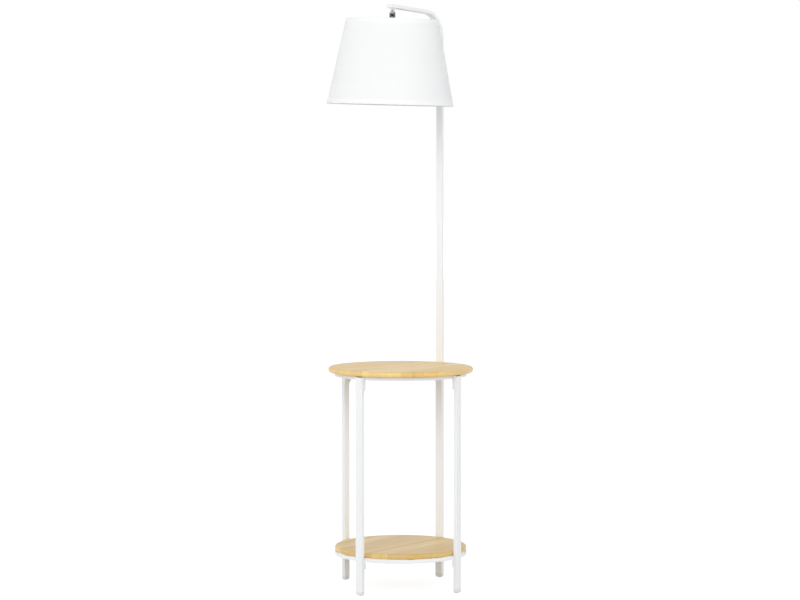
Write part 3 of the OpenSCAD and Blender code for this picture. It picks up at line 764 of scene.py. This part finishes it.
class Cone:
    """The shade's outer face, in the head's own frame."""

    def __init__(self, node):
        self.top, self.bottom, _ = span(node)
        inner, self.top_r = ring_radii(node, self.top)
        self.wall = self.top_r - inner
        self.bottom_r = ring_radii(node, self.bottom)[0] + self.wall
        self.drop = self.top - self.bottom
        self.slant = math.hypot(self.bottom_r - self.top_r, self.drop)
        self.flare = (self.bottom_r - self.top_r) / self.slant

    def point(self, angle, along, proud):
        """At an angle round the axis, so far along the slant from the upper rim, and proud of the face."""
        share = along / self.slant
        radius = self.top_r + (self.bottom_r - self.top_r) * share + proud * self.drop / self.slant
        height = self.top - self.drop * share + proud * self.flare
        return Vector((radius * math.cos(angle), radius * math.sin(angle), height))

    def flat(self, angle, along):
        """The same place on the cloth as it was cut."""
        reach = self.top_r / self.flare + along
        return reach * math.sin(angle * self.flare), -reach * math.cos(angle * self.flare)


SHADE = Cone("shade_fabric")


def wrapped(name, profile, lap, thick, start):
    """A band round the shade with a closed profile of (along, proud), its end lapped over its start."""
    extra = lap / SHADE.bottom_r
    ramp = 2 * extra
    angles = [(TURN + extra) * k / SHADE_STEPS for k in range(SHADE_STEPS + 1)]

    def lift(angle):
        return thick * smooth(min(1, max(0, (angle - TURN + ramp) / ramp)))

    def build(bm):
        rows = []
        for along, proud in profile:
            rows.append([SHADE.point(start + a, along, proud + lift(a)) for a in angles])
        points = grid(bm, rows, closed_rows=True, closed_columns=False,
                      flat=lambda i, j: SHADE.flat(angles[j], profile[i % len(profile)][0]))
        bm.faces.new([row[0] for row in points])
        bm.faces.new([row[-1] for row in reversed(points)])

    return mesh_of(name, build, HEAD)


def band(path, thick):
    """A closed profile along both sides of a path of (along, proud)."""
    sides = ([], [])
    for i, here in enumerate(path):
        before, after = path[max(0, i - 1)], path[min(len(path) - 1, i + 1)]
        run = (Vector(after) - Vector(before)).normalized()
        for side, sign in zip(sides, (1, -1)):
            side.append((here[0] - sign * run.y * thick / 2, here[1] + sign * run.x * thick / 2))
    return sides[0] + sides[1][::-1]


def hem_path(rim, inward):
    """The trim's path: down the outside, round the wire in the rim and up the inside.

    rim is the rim's place along the slant, and inward is -1 or 1 along it towards the shade's middle."""
    outside = HEM_THICK / 2
    gap = HEM_GAP + HEM_THICK / 2
    centre = rim + inward * (WIRE_R + WIRE_IN) * SHADE.slant / SHADE.drop
    deep = SHADE.wall + 2 * WIRE_R + WIRE_BEHIND + gap
    half = (outside + deep) / 2
    path = [(rim + inward * HEM_TALL, outside), (centre, outside)]
    for k in range(1, FOLD_STEPS):
        turn = math.pi * k / FOLD_STEPS
        along = centre - inward * (WIRE_R + gap) * math.sin(turn)
        path.append((along, outside - half + half * math.cos(turn)))
    inner = -(SHADE.wall + HEM_THICK / 2)
    for k in range(TUCK_STEPS + 1):
        share = k / TUCK_STEPS
        along = centre + inward * (TUCK_FROM + TUCK_RUN * share)
        path.append((along, -deep + (inner + deep) * smooth(share)))
    path.append((rim + inward * HEM_TALL * HEM_INSIDE, inner))
    return path


def make_shade():
    """The shade's cloth, lapped at the back, and the trim rolled round the wire in each rim."""
    free_run = SHADE.slant - 2 * CLOTH_FREE
    alongs = [CLOTH_FREE + free_run * k / CLOTH_ROWS for k in range(CLOTH_ROWS + 1)]
    profile = [(a, 0.0) for a in alongs] + [(a, -SHADE.wall) for a in reversed(alongs)]
    mesh = wrapped("shade_cloth_cone", profile, CLOTH_LAP, SHADE.wall, SEAM_AT)
    shade = piece("shade_cloth_cone", mesh, "lamp_head", "shade_cloth", ["shade_fabric"])
    for name, rim, inward in (("shade_upper_trim", 0.0, 1), ("shade_lower_trim", SHADE.slant, -1)):
        profile = band(hem_path(rim, inward), HEM_THICK)
        mesh = wrapped(name, profile, TRIM_LAP, HEM_THICK, TRIM_SEAM_AT)
        piece(name, mesh, "lamp_head", "shade_cloth", material=TRIM_CLOTH)


# ---- Lamp holder and bulb ----

SHELL_WALL = 1.6 * MM
CAP_DOME = 9.5 * MM
CAP_STEPS = 10                            # steps round each rounding of the cap
FINE_EASE, RIM_EASE = 0.3 * MM, 0.5 * MM
GRIP_RIBS = 54
GRIP_DEEP = 0.45 * MM
GRIP_TOP, GRIP_LOW = 7.2 * MM, 1.2 * MM   # above the cap's lower rim
GRIP_LEDGE, GRIP_EASE = 0.3 * MM, 0.4 * MM   # the slope out of the grip, and the one in its ends
RIB_STEPS = 8                             # steps round each rib


def make_holder_cap():
    """The cap: a domed shoulder over a grip of fine upright ribs."""
    top, bottom, radius = span("holder_cap")
    hole = ring_radii("holder_cap", top)[0]
    inner = radius - SHELL_WALL
    outline = eased([(hole, top, FINE_EASE), (radius, top, CAP_DOME), (radius, bottom, RIM_EASE),
                     (inner, bottom, FINE_EASE), (inner, top - SHELL_WALL, CAP_DOME - SHELL_WALL),
                     (hole, top - SHELL_WALL, 0)], CAP_STEPS)
    ribs, sunk = ribbed(radius, GRIP_DEEP, GRIP_RIBS), radius - GRIP_DEEP
    high, low = bottom + GRIP_TOP, bottom + GRIP_LOW
    grip = [(radius, high + GRIP_LEDGE), (sunk, high), (ribs, high - GRIP_EASE),
            (ribs, low + GRIP_EASE), (sunk, low), (radius, low - GRIP_LEDGE)]
    after = next(i for i, (r, z) in enumerate(outline) if r > sunk and z < high)
    outline[after:after] = grip
    cap = lathe(outline, HEAD, GRIP_RIBS * RIB_STEPS)
    piece("holder_cap_dome", cap, "lamp_head", "holder_plastic", ["holder_cap"])


SHELL_THREAD = {"depth": 0.8 * MM, "pitch": 3 * MM, "fineness": 8}
SHELL_PLAIN_TOP = 3 * MM   # plain between the cap and the thread, and below the thread
SHELL_PLAIN_LOW = 1.5 * MM
SHELL_RUN_OUT = 0.5 * MM
SHELL_END, SHELL_CHAMFER = 0.6 * MM, 0.3 * MM


def make_holder_shell():
    """The shell below the cap, with the coarse thread that the collars run on."""
    top, bottom, radius = span("holder_shell")
    inner, root = radius - SHELL_WALL, radius - SHELL_THREAD["depth"]
    first = span("holder_cap")[1] - SHELL_PLAIN_TOP
    thread = thread_run(radius, top=first, bottom=bottom + SHELL_PLAIN_LOW, **SHELL_THREAD)
    outline = ([(inner, top), (radius, top), (radius, first + SHELL_RUN_OUT)] + thread
               + [(root, bottom + SHELL_END), (root - SHELL_CHAMFER, bottom), (inner, bottom)])
    piece("holder_thread_shell", lathe(outline, HEAD), "lamp_head", "holder_plastic", ["holder_shell"])


COLLAR_RIBS = 32
COLLAR_RIB_DEEP = 1.0 * MM
COLLAR_EDGE = 1.5 * MM                     # flat ring inside the ribs
COLLAR_CHAMFER, COLLAR_SOFT = 0.2 * MM, 0.6 * MM   # the two steps of a rib's rounded end
DISH_DEEP = 0.7 * MM
DISH_START, DISH_FOOT = 3 * MM, 3.4 * MM   # out from the bore: where the dish begins, and its floor
DISH_STOP, DISH_SLOPE = 3.4 * MM, 0.5 * MM   # in from the rim: where its floor ends, and the slope there


def make_collars():
    """The two collars that clamp the shade, dished on the sides away from it, with finger grips."""
    for node, dish_above in (("upper_collar", True), ("lower_collar", False)):
        top, bottom, radius = span(node)
        bore = ring_radii(node, top)[0]
        edge, stop = radius - COLLAR_EDGE, radius - DISH_STOP
        ribs = ribbed(radius, COLLAR_RIB_DEEP, COLLAR_RIBS)
        ends = ribbed(radius - COLLAR_CHAMFER, COLLAR_RIB_DEEP, COLLAR_RIBS)
        rim = [(edge, top), (ends, top - COLLAR_CHAMFER), (ribs, top - COLLAR_SOFT),
               (ribs, bottom + COLLAR_SOFT), (ends, bottom + COLLAR_CHAMFER), (edge, bottom)]
        face, floor = (top, top - DISH_DEEP) if dish_above else (bottom, bottom + DISH_DEEP)
        dish = [(bore + DISH_START, face), (bore + DISH_FOOT, floor),
                (stop, floor), (stop + DISH_SLOPE, face)]
        skin = dish + rim if dish_above else rim + dish[::-1]
        ring = lathe([(bore, top)] + skin + [(bore, bottom)], HEAD, COLLAR_RIBS * RIB_STEPS)
        piece(node + "_ring", ring, "lamp_head", "holder_plastic", [node])


GLASS_WALL = 1 * MM
GLASS_LEAN = 0.6   # share of that wall that the inner face is raised by next to the axis
NECK_STEPS = 16
NECK_PULL = 0.38   # how far the neck's curve runs straight on at its ends, as a share of it
BALL_STEPS = 22


def neck_curve(start, touch, tangent):
    """The neck's curve, from straight along the axis at its start to where it touches the ball."""
    reach = (start - touch).length * NECK_PULL
    push = start + Vector((0, -reach))
    pull = touch + tangent * reach
    curve = []
    for k in range(NECK_STEPS):
        t = k / NECK_STEPS
        near = start * (1 - t) ** 3 + push * 3 * t * (1 - t) ** 2
        curve.append(near + pull * 3 * t * t * (1 - t) + touch * t ** 3)
    return curve


def make_bulb_glass():
    """The bulb's pear-shaped glass."""
    neck, end, ball_r = span("bulb_glass")
    neck_r = ring_radii("bulb_glass", neck)[1]
    centre = end + ball_r
    rise = neck - centre
    first = math.atan2(neck_r, rise) + math.acos(ball_r / math.hypot(neck_r, rise))

    def on_ball(angle):
        return Vector((ball_r * math.sin(angle), centre + ball_r * math.cos(angle)))

    tangent = Vector((-math.cos(first), math.sin(first)))
    curve = neck_curve(Vector((neck_r, neck)), on_ball(first), tangent)
    curve += [on_ball(first + (math.pi - first) * k / BALL_STEPS) for k in range(BALL_STEPS)]
    outer = [tuple(p) for p in curve]
    lean = GLASS_WALL * GLASS_LEAN
    inner = [(max(0.0, r - GLASS_WALL), z + lean * (1 - r / ball_r)) for r, z in outer]
    outline = outer + [(0, end), (0, end + GLASS_WALL)] + inner[::-1]
    piece("bulb_globe", lathe(outline, HEAD), "lamp_head", "bulb_opal", ["bulb_glass"])


# In millimetres: the base's contact, as (radius, drop from the tip), its shoulder, as (inset from the
# base's own radius, drop from the tip), and its rolled rim, as (inset, height above the lower end)
CONTACT = ((0, 0), (2.6, 0), (3.6, 0.5), (4.6, 0.9))
SHOULDER = ((3.4, 3.4), (2.2, 3.6), (1.0, 5))
BASE_RIM = ((0.5, 2.5), (0, 2), (0, 0))
BASE_THREAD = {"depth": 1.0 * MM, "pitch": 3.62 * MM, "fineness": 12}
THREAD_BELOW_TIP, THREAD_ABOVE_RIM = 6 * MM, 3.5 * MM


def make_bulb_base():
    """The bulb's base, with its rolled screw thread and the contact."""
    tip, low, radius = span("bulb_base")
    contact = [(r * MM, tip - drop * MM) for r, drop in CONTACT]
    shoulder = [(radius - inset * MM, tip - drop * MM) for inset, drop in SHOULDER]
    thread = thread_run(radius, top=tip - THREAD_BELOW_TIP, bottom=low + THREAD_ABOVE_RIM, **BASE_THREAD)
    rim = [(radius - inset * MM, low + up * MM) for inset, up in BASE_RIM]
    outline = contact + shoulder + thread + rim + [(0, low)]
    piece("bulb_screw_base", lathe(outline, HEAD), "lamp_head", "bulb_metal", ["bulb_base"])


# ---- Swivel, arm and cable outlet ----

FLANGE_TALL = 3 * MM   # the flange's own height, above its neck
FLANGE_EASE, FILLET, NECK_EASE = 1.1 * MM, 0.8 * MM, 0.5 * MM


def make_flange():
    """The flange and neck under the arm, with a soft fillet between them."""
    top, bottom, radius = span("arm_flange", STEM)
    bore, neck_r = ring_radii("arm_flange", bottom, STEM)
    step = top - FLANGE_TALL
    outline = eased([(bore, top, 0), (radius, top, 0), (radius, step, FLANGE_EASE),
                     (neck_r, step, FILLET), (neck_r, bottom, NECK_EASE), (bore, bottom, 0)])
    piece("arm_flange_turned", lathe(outline, STEM), "stand", "white_steel", ["arm_flange"])


GROMMET_LIP = 1.1 * MM      # thickness of the lip on each side of the tube's wall
GROMMET_GROOVE = 1.4 * MM   # depth of the groove that holds the wall
HOLE_EASE, LIP_EASE = 0.4 * MM, 0.5 * MM
GROMMET_STEPS = 5           # steps round each rounding of it


def make_grommet():
    """The grommet low on the rear leg, with rounded lips."""
    low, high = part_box("cable_grommet")
    lip, deep = (high.x - low.x) / 2, high.y - low.y
    groove = lip - GROMMET_GROOVE
    hole = bore_along_y("cable_grommet")
    outline = eased([(hole, 0, HOLE_EASE), (hole, deep, HOLE_EASE),
                     (lip, deep, LIP_EASE), (lip, deep - GROMMET_LIP, 0),
                     (groove, deep - GROMMET_LIP, 0), (groove, GROMMET_LIP, 0),
                     (lip, GROMMET_LIP, 0), (lip, 0, LIP_EASE)], GROMMET_STEPS)
    place = Matrix.Translation((0, low.y, (low.z + high.z) / 2)) @ axis_to((0, 1, 0))
    grommet = lathe(outline, place, SCREW_STEPS)
    piece("cable_grommet_moulded", grommet, "stand", "grommet_rubber", ["cable_grommet"])


# ---- Stage, lights and camera ----

CAMERA_AZIMUTH = math.radians(35.47)
CAMERA_REACH = 6.9     # from the table's axis, level
CAMERA_HEIGHT = 1.186
CAMERA_DOWN = math.radians(3.238)
CAMERA_PAN = math.radians(0.015)
CAMERA_LENS = 112.75   # millimetres
CAMERA_SENSOR = 36     # millimetres wide
CAMERA_SEES = 200

SKY_AROUND = 1.36
SKY_OVERHEAD = 0.12

# Soft lights far away: name, azimuth and elevation in degrees, share of full light, softness in degrees
LIGHTS = (
    ("key", 20, 12, 0.14, 50),
    ("left", -65, 10, 0.2, 60),
    ("right", 100, 8, 0.16, 50),
)
LIGHTS_AWAY = 4   # only their direction counts

SOFTBOX_AZIMUTH = math.radians(28)
SOFTBOX_REACH = 2.2   # from the table's axis, level
SOFTBOX_HEIGHT = 2.0
SOFTBOX_AIM = 1.1     # the height that it points at
SOFTBOX_SIZE = 1.5
SOFTBOX_WATTS = 12.6

# The floor is as bright as the white behind it where nothing shades it: its own light, from the sky
# and the lights above, is lifted to that by a glow that only the camera sees.
FLOOR_RADIUS = 40
FLOOR_COLOUR = rgb(0.78, 0.8, 0.84)
FLOOR_SEEN = 1.045
FLOOR_GLOW = rgb(0.86, 0.92, 1.0)   # a little blue, against the wood's warm light in the shadow
SKY_ON_FLOOR = SKY_AROUND / 3 + SKY_OVERHEAD * 2 / 3
LIGHTS_ON_FLOOR = sum(share * math.sin(math.radians(elevation)) for _, _, elevation, share, _ in LIGHTS)
FLOOR_LIFT = (FLOOR_SEEN - FLOOR_COLOUR[0] * (SKY_ON_FLOOR + LIGHTS_ON_FLOOR)) / FLOOR_GLOW[0]


def direction(azimuth, elevation=0.0):
    """From the lamp outwards: azimuth 0 is towards -Y, and it grows towards +X."""
    level = math.cos(elevation)
    return Vector((math.sin(azimuth) * level, -math.cos(azimuth) * level, math.sin(elevation)))


def make_floor():
    """A pale floor that the camera sees as white, with the lamp's own soft shadow on it."""
    mesh = bpy.data.meshes.new("floor")
    bm = bmesh.new()
    bmesh.ops.create_circle(bm, cap_ends=True, radius=FLOOR_RADIUS, segments=ROUND_STEPS)
    bm.to_mesh(mesh)
    bm.free()
    floor = new_object("floor", mesh)
    made = Finish("pale_floor", Base_Color=FLOOR_COLOUR, Roughness=0.9, Specular_IOR_Level=0.0,
                  Emission_Color=FLOOR_GLOW)
    made.set("Emission Strength", made.math("MULTIPLY", seen_directly(made.tree), FLOOR_LIFT))
    mesh.materials.append(made.material)


def seen_directly(tree):
    """1 for what the camera sees, also by a reflection or through glass."""
    path = tree.nodes.new("ShaderNodeLightPath")
    total = path.outputs["Is Camera Ray"]
    for kind in ("Is Glossy Ray", "Is Transmission Ray"):
        add = tree.nodes.new("ShaderNodeMath")
        add.operation = "MAXIMUM"
        tree.links.new(total, add.inputs[0])
        tree.links.new(path.outputs[kind], add.inputs[1])
        total = add.outputs[0]
    return total


def make_world():
    """A pale studio, lighter round the sides than overhead, which the camera sees as white."""
    world = bpy.data.worlds.new("studio")
    bpy.context.scene.world = world
    world.use_nodes = True
    tree = world.node_tree
    background = tree.nodes["Background"]
    background.inputs["Color"].default_value = rgb(1, 1, 1)
    parts = tree.nodes.new("ShaderNodeSeparateXYZ")
    tree.links.new(tree.nodes.new("ShaderNodeTexCoord").outputs["Generated"], parts.inputs[0])
    height = tree.nodes.new("ShaderNodeMapRange")
    height.inputs["To Min"].default_value = SKY_AROUND
    height.inputs["To Max"].default_value = SKY_OVERHEAD
    tree.links.new(parts.outputs["Z"], height.inputs["Value"])
    level = tree.nodes.new("ShaderNodeMapRange")
    level.inputs["To Max"].default_value = 1.0
    tree.links.new(seen_directly(tree), level.inputs["Value"])
    tree.links.new(height.outputs["Result"], level.inputs["To Min"])
    tree.links.new(level.outputs["Result"], background.inputs["Strength"])


def make_lights():
    for name, azimuth, elevation, share, softness in LIGHTS:
        light = bpy.data.lights.new(name, "SUN")
        light.energy = share * math.pi
        light.angle = math.radians(softness)
        lamp = new_object(name, light)
        towards = direction(math.radians(azimuth), math.radians(elevation))
        lamp.rotation_euler = towards.to_track_quat("Z", "Y").to_euler()
        lamp.location = towards * LIGHTS_AWAY


def make_softbox():
    """A broad light near the shade, so that the lamp is a little lighter above than below."""
    light = bpy.data.lights.new("softbox", "AREA")
    light.shape = "SQUARE"
    light.size = SOFTBOX_SIZE
    light.energy = SOFTBOX_WATTS
    lamp = new_object("softbox", light)
    lamp.location = TABLE_AXIS + direction(SOFTBOX_AZIMUTH) * SOFTBOX_REACH + Vector((0, 0, SOFTBOX_HEIGHT))
    aimed_at = TABLE_AXIS + Vector((0, 0, SOFTBOX_AIM))
    lamp.rotation_euler = (lamp.location - aimed_at).to_track_quat("Z", "Y").to_euler()


def make_camera():
    data = bpy.data.cameras.new("camera")
    data.sensor_fit = "HORIZONTAL"
    data.sensor_width = CAMERA_SENSOR
    data.lens = CAMERA_LENS
    data.clip_end = CAMERA_SEES
    camera = new_object("camera", data)
    camera.location = TABLE_AXIS + direction(CAMERA_AZIMUTH) * CAMERA_REACH + Vector((0, 0, CAMERA_HEIGHT))
    camera.rotation_euler = (TURN / 4 - CAMERA_DOWN, 0, CAMERA_AZIMUTH + CAMERA_PAN)
    bpy.context.scene.camera = camera


bpy.context.scene.view_settings.view_transform = "Standard"
make_camera()
make_floor()
make_world()
make_lights()
make_softbox()
finish_nodes()
soften_nodes()
make_boards()
make_feet()
make_screws()
make_shade()
make_holder_cap()
make_holder_shell()
make_collars()
make_bulb_glass()
make_bulb_base()
make_flange()
make_grommet()
